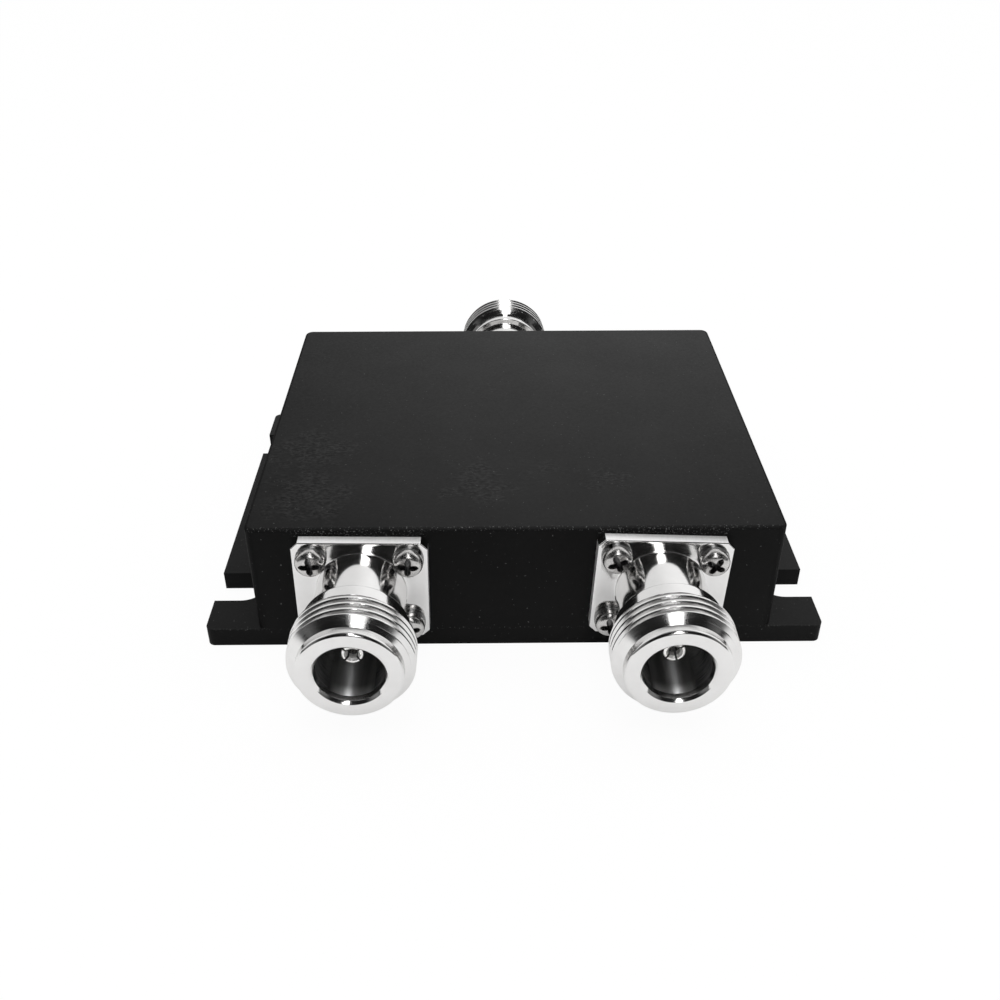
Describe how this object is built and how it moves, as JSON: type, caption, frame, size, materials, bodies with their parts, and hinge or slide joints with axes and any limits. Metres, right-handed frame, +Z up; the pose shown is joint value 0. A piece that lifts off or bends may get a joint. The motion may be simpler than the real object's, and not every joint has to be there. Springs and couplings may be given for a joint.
{
  "type": "rf power splitter",
  "caption": "Black painted box on a slotted base plate, with flanged coaxial sockets on its front and rear faces, that splits a radio signal.",
  "frame": {"origin": "on the base plate's underside, at the middle of the footprint", "axes": "+Z up, +Y towards the input port, the two output ports on the -Y face, +X to the right seen from the output side"},
  "size_m": [0.0844, 0.0958, 0.0194],
  "materials": {
    "black_paint": "matte",
    "nickel": "polished",
    "steel": "satin",
    "contact": "polished",
    "insulator": "satin",
    "board": "satin",
    "resistor": "satin",
    "solder": "satin"
  },
  "bodies": {
    "root": {"housing": "black_paint", "base_plate": "black_paint", "base_plate_screws": "steel", "circuit_board": "board", "isolation_resistors": "resistor", "board_screws": "steel", "output_left_shell": "nickel", "output_left_insulator": "insulator", "output_left_contact": "contact", "output_left_flange_screws": "steel", "output_left_lock_washers": "steel", "output_left_solder_joint": "solder", "output_right_shell": "nickel", "output_right_insulator": "insulator", "output_right_contact": "contact", "output_right_flange_screws": "steel", "output_right_lock_washers": "steel", "output_right_solder_joint": "solder", "input_shell": "nickel", "input_insulator": "insulator", "input_contact": "contact", "input_flange_screws": "steel", "input_lock_washers": "steel", "input_solder_joint": "solder"}
  },
  "joints": []
}
